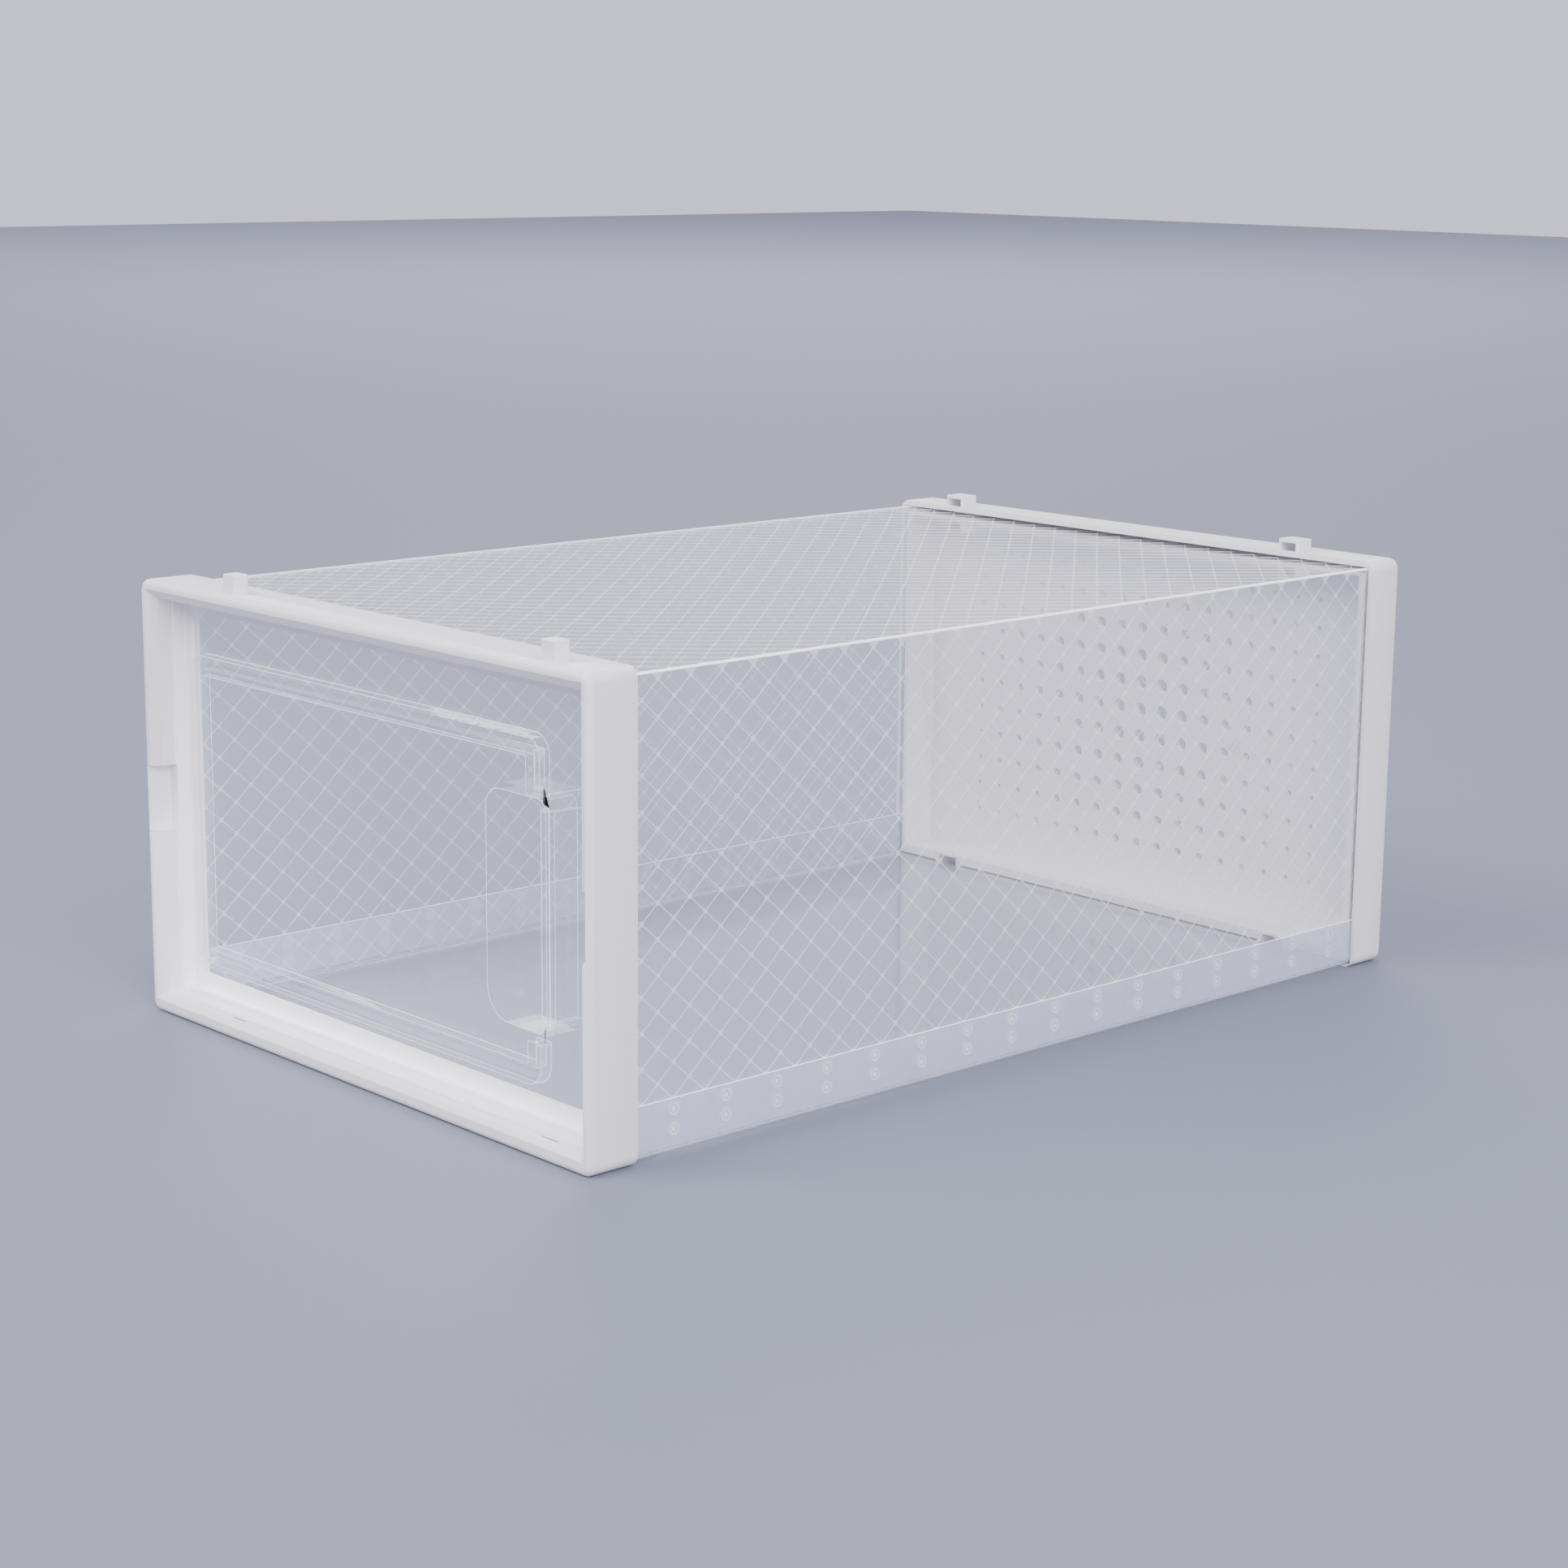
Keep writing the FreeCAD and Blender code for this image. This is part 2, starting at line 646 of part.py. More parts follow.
def make_bottom_sheet(spots):
    """The clear sheet under the box, with a flap turned up outside each side of the wrap.

    It is one sheet, divided where its rear end becomes three tongues round the clip sockets.
    """
    folded = channel(
        "bottom_sheet_plain", FLAP_SIDE, "dim.sheet_lift", "(dim.sheet_lift + dim.flap_height)",
        f"({WRAP_SIDE} + dim.sheet_touch)", "(dim.sheet_lift + dim.sheet_gauge)", TOP,
    )
    notches = []
    grow = "dim.socket_gap + dim.boss_wall + dim.slot_gap"
    for side, centre in zip(("left", "right"), CLIP_CENTRES):
        notches.append(block(
            "boss_notch_" + side,
            (f"dim.clip_width + 2 * ({grow})", "dim.rear_depth + dim.slot_gap", "dim.box_height / 2"),
            (f"{centre} - dim.clip_width / 2 - ({grow})", f"{CAP_FRONT} - dim.slot_gap", "0"),
        ))
    sheet = cut("bottom_sheet_whole", folded, spots, *notches)
    rear = block(
        "tongue_zone", (f"4 * {FLAP_SIDE}", "dim.box_depth", "dim.box_height"),
        (f"-2 * {FLAP_SIDE}", f"{CAP_FRONT} - dim.slot_gap", "0"),
    )
    return [cut("bottom_sheet", sheet, rear), common("bottom_tongues", sheet, rear)]


def weld_places():
    """The length-ways and upward places of every weld spot on one side."""
    sleeve_front = dim.front_depth - dim.front_grip - dim.box_depth / 2
    sleeve_back = dim.box_depth / 2 - dim.rear_depth + dim.rear_grip
    gaps = math.floor((sleeve_back - sleeve_front - 2 * dim.weld_end_margin) / dim.weld_pitch)
    first = sleeve_front + dim.weld_end_margin
    rows = (dim.weld_low_row, dim.weld_low_row + dim.weld_row_gap)
    return [
        Vector(0, first + step * dim.weld_pitch, dim.sheet_lift + height)
        for step in range(gaps + 1)
        for height in rows
    ]


def weld_spot(side):
    """One weld: a plug through both sheets and a dimpled ring outside them, at side 1 or -1."""
    inner = dim.box_width / 2 - dim.sheet_inset - dim.sheet_gauge
    outer = inner + 2 * dim.sheet_gauge + dim.sheet_touch
    out = Vector(side, 0, 0)
    plug = Part.makeCylinder(dim.weld_radius, outer - inner, out * inner, out)
    ring = Part.makeCylinder(dim.weld_ring_radius, dim.weld_ring_height, out * outer, out)
    dimple = Part.makeCylinder(dim.weld_dimple_radius, dim.weld_ring_height, out * outer, out)
    return plug.fuse(ring.cut(dimple)).removeSplitter()


def make_weld_spots():
    """Every weld spot, as one group of separate solids for each side."""
    groups = []
    for name, side in (("left", -1), ("right", 1)):
        spot = weld_spot(side)
        group = doc.addObject("Part::Feature", "weld_spots_" + name)
        group.Shape = Part.makeCompound([spot.translated(place) for place in weld_places()])
        groups.append(group)
    return groups


def weld_holes():
    """The holes that the welds fill: one bar through both sides for every weld place."""
    reach = dim.box_width
    across = Vector(1, 0, 0)
    bars = [
        Part.makeCylinder(dim.weld_radius, reach, place - across * (reach / 2), across)
        for place in weld_places()
    ]
    holes = doc.addObject("Part::Feature", "weld_holes")
    holes.Shape = Part.makeCompound(bars)
    return holes


# ---------------------------------------------------------------- door

def make_door():
    """A clear door with a hinge barrel on its left, a raised band and a finger pocket."""
    body = new_body("door")
    door_front = f"({FRONT} + dim.door_setback)"
    door_back = f"({door_front} + dim.door_gauge)"
    plate_left = f"({HINGE_X} - dim.barrel_radius)"
    plate_right = f"({SIDE} - dim.bar_side - dim.door_gap)"
    pad_back(body, "plate", door_front, "dim.door_gauge", (plate_left, plate_right, DOOR_LOW, DOOR_HIGH))
    free_edge = dim.box_width / 2 - dim.bar_side - dim.door_gap

    def free_corner(start, end):
        return along_y(start, end) and near(start.x, free_edge)

    soften(body, "Fillet", "Radius", "dim.door_corner", free_corner, 2)
    add_band(body, door_front)
    add_pocket(body, door_front)
    add_hinge(body, door_back, plate_left)
    return body


def band_outline(shrink):
    """The four sides of the band's outer outline, moved inwards by a formula."""
    return (
        f"-{SIDE} + dim.band_from_left + {shrink}",
        f"{SIDE} - dim.band_from_right - {shrink}",
        f"dim.band_from_bottom + {shrink}",
        f"{TOP} - dim.band_from_top - {shrink}",
    )


def rounded_band(shrink):
    """The band's outer outline with its rounded corners, moved inwards by a formula."""
    return band_outline(shrink) + ((f"dim.band_corner - {shrink}",) * 4,)


def add_band(body, door_front):
    """The raised band around the middle of the door: hollow behind, and stopped at the pocket."""
    crest = f"{door_front} - dim.band_proud"
    inside = f"{crest} + dim.band_wall"
    behind = "dim.band_proud + dim.door_gauge - dim.band_wall"
    pad_back(body, "band", crest, "dim.band_proud", rounded_band("0"), band_outline("dim.band_width"))
    pocket_back(
        body, "band_hollow", inside, behind,
        rounded_band("dim.band_wall"), band_outline("(dim.band_width - dim.band_wall)"),
    )
    band_left = f"{SIDE} - dim.band_from_right - dim.band_width"
    band_right = f"{SIDE} - dim.band_from_right"
    low, high = pocket_outline("2 * dim.pocket_wall")[2:4]
    pad_back(body, "band_ends", inside, behind, (band_left, band_right, low, high))
    low, high = pocket_outline("dim.pocket_wall")[2:4]
    gap = (f"{band_left} - dim.band_wall", f"{band_right} + dim.band_wall", low, high)
    pocket_back(body, "band_gap", crest, "dim.band_proud", gap)


def pocket_outline(grow):
    """The finger pocket's outline, moved outwards by a formula."""
    return (
        f"{SIDE} - dim.pocket_from_right - dim.pocket_width - {grow}",
        f"{SIDE} - dim.pocket_from_right + {grow}",
        f"dim.pocket_from_bottom - {grow}",
        f"{TOP} - dim.pocket_from_top + {grow}",
        (
            f"dim.pocket_round_low + {grow}", f"dim.pocket_round_right + {grow}",
            f"dim.pocket_round_right + {grow}", f"dim.pocket_round_high + {grow}",
        ),
    )


def add_pocket(body, door_front):
    """The finger pocket, a tray that stands out behind the door, and its grip rib."""
    pad_back(
        body, "tray", door_front, "dim.pocket_depth + dim.pocket_wall",
        pocket_outline("dim.pocket_wall"),
    )
    pocket_back(body, "tray_hollow", door_front, "dim.pocket_depth", pocket_outline("0"))
    rib_left = f"{SIDE} - dim.pocket_from_right"
    rib = (
        rib_left, f"{rib_left} + dim.rib_width",
        "dim.pocket_from_bottom + dim.rib_end_gap", f"{TOP} - dim.pocket_from_top - dim.rib_end_gap",
    )
    pad_back(body, "grip_rib", f"{door_front} - dim.rib_proud", "dim.rib_proud", rib)
    crest = dim.door_setback - dim.rib_proud - dim.box_depth / 2

    def rib_rim(start, end):
        return near(start.y, crest) and near(end.y, crest)

    soften(body, "Fillet", "Radius", "dim.rib_width / 3", rib_rim, 4)


def add_hinge(body, door_back, plate_left):
    """The hinge barrel, the web that joins it to the plate, and a pin at each end."""
    height = f"{DOOR_HIGH} - {DOOR_LOW}"
    sketch = new_sketch(body, "barrel", "XY_Plane", DOOR_LOW)
    add_circle(sketch, "barrel", HINGE_X, HINGE_Y, "dim.barrel_radius")
    extrude(body, "Pad", sketch, height, False)
    web = (plate_left, f"{HINGE_X} + dim.barrel_radius", HINGE_Y, door_back)
    extrude_up(body, "Pad", "barrel_web", DOOR_LOW, height, web)
    reach = "dim.door_gap + dim.pin_reach"
    for name, start in (("pin_low", f"{DOOR_LOW} - ({reach})"), ("pin_high", DOOR_HIGH)):
        sketch = new_sketch(body, name, "XY_Plane", start)
        add_circle(sketch, "pin", HINGE_X, HINGE_Y, "dim.pin_radius")
        extrude(body, "Pad", sketch, reach, False)


# ---------------------------------------------------------------- build and write

def check(item):
    """Stop unless an object is up to date and holds a sound shape."""
    if "Invalid" in item.State or "Error" in item.State:
        raise RuntimeError(f"{item.Name}: {item.State}")
    if hasattr(item, "Shape") and item.TypeId != "Sketcher::SketchObject":
        if item.Shape.isNull() or not item.Shape.isValid():
            raise RuntimeError(f"{item.Name}: no sound shape")


def build():
    """Make every piece of the box."""
    holes = weld_holes()
    pieces = [make_front_frame(), make_top_sheet(holes)]
    pieces.extend(make_bottom_sheet(holes))
    pieces.extend(make_rear_panel())
    pieces.extend(make_weld_spots())
    pieces.append(make_door())
    doc.recompute()
    return pieces


os.makedirs("parts", exist_ok=True)
for made in build():
    check(made)
    made.Shape.exportStep(f"parts/{made.Label}.step")
    print(made.Label, round(made.Shape.Volume), len(made.Shape.Solids), "solid(s)")
for item in doc.Objects:
    if item.TypeId.startswith(("PartDesign::", "Part::")):
        check(item)
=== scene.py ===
# %% [markdown]
# # A side-opening shoe box
# The box has two white end mouldings, a clear embossed sleeve between them and a clear
# hinged door. This notebook loads the mechanical model, hangs the new pieces from one empty
# per body, and builds the surfaces that the eye reads: softened edges, the raised diamond
# lattice of the sleeve, welded seams, and plastics that look like plastic.

# %% Load the mechanical model
import math

import bpy
from mathutils import Matrix, Vector


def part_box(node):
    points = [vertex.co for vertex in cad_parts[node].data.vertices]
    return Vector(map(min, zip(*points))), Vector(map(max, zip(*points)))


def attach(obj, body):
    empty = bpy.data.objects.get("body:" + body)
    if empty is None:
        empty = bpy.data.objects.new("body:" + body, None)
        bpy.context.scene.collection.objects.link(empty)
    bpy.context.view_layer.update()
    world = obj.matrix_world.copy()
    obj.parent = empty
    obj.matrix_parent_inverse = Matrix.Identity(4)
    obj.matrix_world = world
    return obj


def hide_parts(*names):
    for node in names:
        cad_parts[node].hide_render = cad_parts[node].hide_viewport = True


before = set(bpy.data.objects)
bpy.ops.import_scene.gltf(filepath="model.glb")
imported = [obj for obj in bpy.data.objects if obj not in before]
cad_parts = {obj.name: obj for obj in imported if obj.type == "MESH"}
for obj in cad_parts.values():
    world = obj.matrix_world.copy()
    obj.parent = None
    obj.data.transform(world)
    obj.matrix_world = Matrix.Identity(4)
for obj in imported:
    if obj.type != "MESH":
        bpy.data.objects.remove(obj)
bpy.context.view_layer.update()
MM = 0.001

# %% [markdown]
# ## Working by hand, in code
# Every edit below is one that a person could make with the mouse: pick one object, enter
# edit mode, pick faces or edges by where they are, and use a tool on them. Operators act
# on whatever is selected, so each helper first lets go of everything else.

# %% Pick and edit helpers
def pick(piece):
    """Select one object alone and make it active."""
    bpy.ops.object.select_all(action="DESELECT")
    piece.select_set(True)
    bpy.context.view_layer.objects.active = piece
    return piece


def edit():
    """Enter edit mode, on vertices, with nothing selected."""
    bpy.ops.object.mode_set(mode="EDIT")
    bpy.ops.mesh.select_mode(type="VERT")
    bpy.ops.mesh.select_all(action="DESELECT")


def leave():
    """Go back to object mode."""
    bpy.ops.object.mode_set(mode="OBJECT")


MODES = {"vertices": "VERT", "edges": "EDGE", "polygons": "FACE"}


def choose(piece, kind, test):
    """Enter edit mode with the elements that pass a test selected; returns how many."""
    bpy.ops.object.mode_set(mode="OBJECT")
    mesh = piece.data
    for group in (mesh.vertices, mesh.edges, mesh.polygons):
        group.foreach_set("select", [False] * len(group))
    found = [item for item in getattr(mesh, kind) if test(item)]
    for item in found:
        item.select = True
    bpy.ops.object.mode_set(mode="EDIT")
    bpy.ops.mesh.select_mode(type=MODES[kind])
    return len(found)


def assign(piece, index):
    """Give the selected faces one of the piece's materials."""
    piece.active_material_index = index
    bpy.ops.object.material_slot_assign()


def paint(piece, index, test):
    """Give the faces that pass a test one of the piece's materials."""
    choose(piece, "polygons", test)
    assign(piece, index)
    leave()


def heal(piece):
    """Merge a piece's doubled points and its flat neighbouring faces."""
    pick(piece)
    edit()
    bpy.ops.mesh.select_all(action="SELECT")
    bpy.ops.mesh.remove_doubles(threshold=0.002 * MM)
    bpy.ops.mesh.dissolve_limited(angle_limit=math.radians(1.0))
    leave()


def apply_all(piece):
    """Apply every modifier of a piece, from the top down."""
    pick(piece)
    for modifier in list(piece.modifiers):
        bpy.ops.object.modifier_apply(modifier=modifier.name)


def settle(piece):
    """Put a piece's place, turn and size into its mesh."""
    pick(piece)
    bpy.ops.object.transform_apply(location=True, rotation=True, scale=True)


def say(piece):
    """Print what a finished piece measures."""
    size = ", ".join(f"{side / MM:.1f}" for side in piece.dimensions)
    print(f"{piece.name}: {len(piece.data.polygons)} faces, {size} mm")


# %% [markdown]
# ## Shader sums as plain sums
# A material is easier to read as arithmetic. Value wraps one socket, so that adding or
# multiplying two of them adds the Math node that does it. Finish is one material, and its
# node method makes any other kind of node.

# %% Value and Finish
class Value:
    """The output of a shader node, used in sums like a number."""

    def __init__(self, finish, socket):
        self.finish = finish
        self.socket = socket

    def maths(self, operation, *others):
        values = dict(enumerate((self,) + others))
        return self.finish.node("ShaderNodeMath", {"operation": operation}, values)

    def __add__(self, other):
        return self.maths("ADD", other)

    def __sub__(self, other):
        return self.maths("SUBTRACT", other)

    def __rsub__(self, other):
        return (self * -1) + other

    def __mul__(self, other):
        return self.maths("MULTIPLY", other)

    def __truediv__(self, other):
        return self.maths("DIVIDE", other)

    __radd__ = __add__

    def smooth(self, low, high):
        """0 below low, 1 above high, and an even curve between."""
        ends = {"Value": self, "From Min": low, "From Max": high}
        return self.finish.node("ShaderNodeMapRange", {"interpolation_type": "SMOOTHSTEP"}, ends)


class Finish:
    """One material and the nodes that make it."""

    def __init__(self, name):
        self.material = bpy.data.materials.new(name)
        self.material.use_nodes = True
        self.tree = self.material.node_tree
        self.tree.nodes.clear()

    def node(self, kind, settings=None, inputs=None, output=0):
        made = self.tree.nodes.new(kind)
        for name, setting in (settings or {}).items():
            setattr(made, name, setting)
        for name, value in (inputs or {}).items():
            if isinstance(value, Value):
                self.tree.links.new(value.socket, made.inputs[name])
            elif value is not None:
                made.inputs[name].default_value = value
        return Value(self, made.outputs[output])

    def place(self):
        """The point on the piece, in metres."""
        return self.node("ShaderNodeTexCoord", output="Object")

    def noise(self, size, detail=2.0, stretch=(1, 1, 1)):
        """Soft noise whose lumps are about size metres across, from 0 to 1."""
        scale = tuple(part / size for part in stretch)
        spread = self.node("ShaderNodeMapping", None, {"Vector": self.place(), "Scale": scale})
        return self.node("ShaderNodeTexNoise", None, {"Vector": spread, "Scale": 1.0, "Detail": detail})

    def bump(self, height, distance, strength=1.0):
        """A normal roughened by a height; distance is in metres."""
        inputs = {"Height": height, "Distance": distance, "Strength": strength}
        return self.node("ShaderNodeBump", None, inputs)

    def glance(self):
        """How much a clear plastic surface mirrors: 4% head on, and all of it edge on.

        It is the same from both sides, as thin sheets need.
        """
        facing = self.node("ShaderNodeLayerWeight", None, {"Blend": 0.5}, output="Facing")
        return facing.maths("POWER", 5.0) * 0.96 + 0.04

    def blend(self, share, first, second):
        """One shader over another, by a share from 0 to 1."""
        return self.node("ShaderNodeMixShader", None, {0: share, 1: first, 2: second})

    def tint(self, share, first, second):
        """One colour over another, by a share from 0 to 1."""
        settings = {"data_type": "RGBA", "blend_type": "MIX"}
        return self.node("ShaderNodeMix", settings, {0: share, 6: first, 7: second}, output=2)

    def show(self, shader):
        """Make a shader the one that is seen."""
        end = self.tree.nodes.new("ShaderNodeOutputMaterial")
        self.tree.links.new(shader.socket, end.inputs["Surface"])
        return self.material


# %% [markdown]
# ## White moulded plastic
# The end frames are injection moulded in an off-white polypropylene with a fine satin
# skin. A real skin isn't even: its gloss drifts a little over some centimetres, and a very
# fine grain breaks the highlights. Noise on two scales gives both.

# %% White plastic
def white_plastic(name, colour, shade):
    """Satin off-white moulding: a slow drift in tone and gloss over a fine grain."""
    finish = Finish(name)
    drift = finish.noise(40 * MM, 3.0)
    grain = finish.noise(0.5 * MM, 2.0)
    body = finish.node("ShaderNodeBsdfPrincipled", None, {
        "Base Color": finish.tint(drift, colour, shade),
        "Roughness": 0.34 + drift * 0.1 + grain * 0.06,
        "Normal": finish.bump(grain, 0.012 * MM, 0.5),
        "IOR": 1.49,
    })
    return finish.show(body)


front_white = white_plastic("satin_white_front", (0.94, 0.89, 0.92, 1), (0.915, 0.865, 0.895, 1))
# The rear moulding is the same plastic as the front; its slightly darker colour is painted shade.
rear_white_painted_shade = white_plastic("satin_white_rear_shaded", (0.87, 0.82, 0.845, 1), (0.845, 0.795, 0.82, 1))

# %% [markdown]
# ## Clear plastics
# A thin clear sheet does three things: most light goes straight through, some is mirrored,
# more so at a glancing angle, and a little is scattered as a white haze. Mixing three
# simple shaders by those shares follows the real sheet, and lets lamps light the inside.

# %% Clear film
def clear_film(name, haze, gloss, tone=(0.86, 0.88, 0.93, 1), rough=0.06, painted_glow=0.0):
    """A thin clear skin. Haze may be a number or a pattern, and gloss scales its reflections.

    Painted glow is painted light: an emission that stands in for the light a clear sheet gathers and
    lets out along a crease or rim.
    """
    finish = Finish(name)
    if callable(haze):
        haze = haze(finish)
    ripple = finish.bump(finish.noise(18 * MM, 2.0), 0.35 * MM, 0.35)
    through = finish.node("ShaderNodeBsdfTransparent", None, {"Color": (0.985, 0.99, 1.0, 1)})
    mirror = finish.node("ShaderNodeBsdfAnisotropic", None, {
        "Color": (1, 1, 1, 1), "Roughness": rough, "Normal": ripple,
    })
    clear = finish.blend(finish.glance() * gloss, through, mirror)
    milk_and_glow = finish.node("ShaderNodeBsdfPrincipled", None, {
        "Base Color": tone, "Roughness": 0.3, "Normal": ripple,
        "Emission Color": (1, 1, 1, 1), "Emission Strength": painted_glow,
    })
    return finish.show(finish.blend(haze, clear, milk_and_glow))


sheet_film = clear_film("clear_sheet", 0.09, 0.5)
emboss_film = clear_film("embossed_line", 0.55, 0.6, (0.95, 0.95, 0.985, 1), 0.2)
# Painted highlight: the rounded creases and the flaps' top edges get a milky finish with a strong
# emission, for the bright lines that light makes there.
crease_highlight_film = clear_film("painted_crease_highlight", 0.95, 1.0, (0.98, 0.98, 1.0, 1), 0.2, painted_glow=0.7)
knot_film = clear_film("embossed_knot", 0.6, 0.6, (0.97, 0.97, 1.0, 1), 0.2)


# %% [markdown]
# ## The mouldings with softened edges
# A mould can't make a knife edge, and it is the small rounds that catch the light. The
# mechanical model's solids are right in shape, so a copy of each is merged back into whole
# faces, and a small bevel runs along every sharp edge. The rear panel comes as several solids
# that meet face to face. They are one moulding, so a boolean union joins them first.

# %% Copies of the mechanical solids
def copy_of(node):
    """A merged copy of one mechanical node, with nothing else selected."""
    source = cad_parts[node]
    piece = bpy.data.objects.new(node + "_copy", source.data.copy())
    bpy.context.scene.collection.objects.link(piece)
    piece.data.materials.clear()
    heal(piece)
    return piece


def welded(nodes):
    """One piece made of copies of several nodes that touch."""
    whole, *others = [copy_of(node) for node in nodes]
    for other in others:
        union = whole.modifiers.new("union", "BOOLEAN")
        union.operation = "UNION"
        union.solver = "EXACT"
        union.object = other
        apply_all(whole)
        bpy.data.objects.remove(other)
    heal(whole)
    return whole


# %% Softened edges
def softened(nodes, name, width, body, finishes, segments=2):
    """Copies of mechanical nodes as one piece, with a small round on every sharp edge.

    A second finish, if there is one, goes on the rounds; on the door it is a painted highlight.
    """
    piece = welded(nodes)
    piece.name = name
    for finish in finishes:
        piece.data.materials.append(finish)
    rounds = piece.modifiers.new("rounds", "BEVEL")
    rounds.width = width
    rounds.segments = segments
    rounds.limit_method = "ANGLE"
    rounds.angle_limit = math.radians(32)
    rounds.use_clamp_overlap = True
    rounds.material = len(finishes) - 1
    apply_all(piece)
    bpy.ops.object.shade_smooth_by_angle(angle=math.radians(35))
    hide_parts(*nodes)
    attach(piece, body)
    say(piece)
    return piece


softened(["front_frame"], "front_moulding", 0.35 * MM, "front", [front_white])
REAR_NODES = ["rear_wall", "rear_arch", "rear_sill", "rear_sockets", "rear_clips"]
softened(REAR_NODES, "rear_moulding", 0.2 * MM, "rear", [rear_white_painted_shade], 1)

# %% [markdown]
# ## The embossed sleeve
# The sleeve starts as one flat sheet, embossed with a lattice of fine raised lines, and is
# then folded over the box. The same order works here: a grid is turned by 45 degrees and
# stretched to the lattice's pitch, cut to the sheet's outline, and folded down both sides.
# Each crossing gets a small flat knot from a vertex bevel. Solidify gives the sheet its
# thickness, and one inset on every outer cell leaves the raised lines standing.

# %% The flat lattice
SHEET_GAUGE = 0.6 * MM
PITCH_LONG = 11.12 * MM
PITCH_AROUND = 9.97 * MM
CROSSING = Vector((-1.89 * MM, -0.24 * MM))
KNOT = 0.75 * MM
LINE_HALF = 0.2 * MM
LINE_RISE = 0.1 * MM
CREASE_ROUND = 0.6 * MM
EDGE_ROOM = 1.2 * MM
SMALLEST_CELL = 6 * MM * MM
LARGEST_KNOT = 2.5 * MM * MM
CELLS = 80
CELL, LINE, CREASE, KNOT_TOP = range(4)

low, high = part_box("top_sheet")
fold_x = high.x
drop = high.z - low.z
half_flat = fold_x + drop
bpy.ops.object.select_all(action="DESELECT")
bpy.ops.mesh.primitive_grid_add(
    x_subdivisions=CELLS, y_subdivisions=CELLS, size=CELLS * math.sqrt(0.5),
    location=(CROSSING.x, CROSSING.y, high.z), rotation=(0, 0, math.radians(45)),
)
sleeve = bpy.context.object
sleeve.name = "sleeve_wrap"
settle(sleeve)
pick(sleeve)
bpy.ops.object.mode_set(mode="EDIT")
bpy.ops.mesh.select_all(action="SELECT")
bpy.ops.transform.resize(
    value=(PITCH_AROUND, PITCH_LONG, 1), center_override=(CROSSING.x, CROSSING.y, high.z)
)
leave()
say(sleeve)


# %% Cut to the outline and crease at the folds
def slice_sheet(point, normal, clear):
    """Cut the whole sheet along a plane, and drop what lies beyond it if clear is true."""
    bpy.ops.mesh.select_all(action="SELECT")
    bpy.ops.mesh.bisect(plane_co=point, plane_no=normal, clear_outer=clear, threshold=1e-7)


edit()
slice_sheet((0, low.y, 0), (0, -1, 0), True)
slice_sheet((0, high.y, 0), (0, 1, 0), True)
for side in (-1, 1):
    slice_sheet((side * half_flat, 0, 0), (side, 0, 0), True)
    slice_sheet((side * fold_x, 0, 0), (side, 0, 0), False)
leave()
say(sleeve)


# %% Knots where the lines cross
def is_crossing(vertex):
    """True for a lattice crossing that is clear of the folds and the sheet's edges."""
    across = (vertex.co.x - CROSSING.x) / (PITCH_AROUND / 2)
    along = (vertex.co.y - CROSSING.y) / (PITCH_LONG / 2)
    on_grid = abs(across - round(across)) + abs(along - round(along)) < 0.02
    edges_x = (-half_flat, -fold_x, fold_x, half_flat)
    room = min(abs(vertex.co.x - line) for line in edges_x)
    room = min(room, abs(vertex.co.y - low.y), abs(vertex.co.y - high.y))
    return on_grid and room > EDGE_ROOM


knots = choose(sleeve, "vertices", is_crossing)
bpy.ops.mesh.bevel(offset=KNOT, segments=1, affect="VERTICES")
leave()
print("knots:", knots)
say(sleeve)

# %% Fold the sides down
TINY = 0.01 * MM
for side in (-1, 1):
    choose(sleeve, "vertices", lambda v: v.co.x * side > fold_x + TINY)
    bpy.ops.transform.rotate(
        value=math.radians(-90 * side), orient_axis="Y",
        center_override=(side * fold_x, 0, high.z),
    )
leave()
say(sleeve)
low_now = min(v.co.z for v in sleeve.data.vertices)
print("sleeve bottom:", round(low_now / MM, 2), "wanted", round(low.z / MM, 2))

# %% Round the creases, give the sheet its thickness
def on_fold(edge):
    """True for an edge that lies along one of the two folds."""
    ends = [sleeve.data.vertices[i].co for i in edge.vertices]
    return all(abs(abs(end.x) - fold_x) < TINY and abs(end.z - high.z) < TINY for end in ends)


for film in (sheet_film, emboss_film, crease_highlight_film, knot_film):
    sleeve.data.materials.append(film)
# The crease rounds take the crease finish, a painted highlight.
choose(sleeve, "edges", on_fold)
bpy.ops.mesh.bevel(offset=CREASE_ROUND, segments=2, affect="EDGES", material=CREASE)
leave()
wall = sleeve.modifiers.new("thickness", "SOLIDIFY")
wall.thickness = SHEET_GAUGE
wall.offset = -1
wall.use_even_offset = True
apply_all(sleeve)
say(sleeve)

# %% Raise the lines
def is_outer(face):
    """True for a face of the sleeve's outer skin, off the crease."""
    facing, place = face.normal, face.center
    if face.material_index == CREASE:
        return False
    if facing.z > 0.9:
        return place.z > high.z - 0.1 * MM
    outside = place.x * facing.x > 0 and abs(place.x) > fold_x - 0.1 * MM
    return abs(facing.x) > 0.9 and outside


paint(sleeve, LINE, is_outer)
paint(sleeve, KNOT_TOP, lambda face: is_outer(face) and face.area < LARGEST_KNOT)
cells = choose(sleeve, "polygons", lambda face: is_outer(face) and face.area > SMALLEST_CELL)
bpy.ops.mesh.inset(thickness=LINE_HALF, depth=-LINE_RISE, use_individual=True)
assign(sleeve, CELL)
leave()
print("cells:", cells)
say(sleeve)

# %% [markdown]
# A thin sheet held along its edges sags a little in the middle. Each point of the top is
# lowered by a smooth curve, which is nothing at the creases and at the front edge.

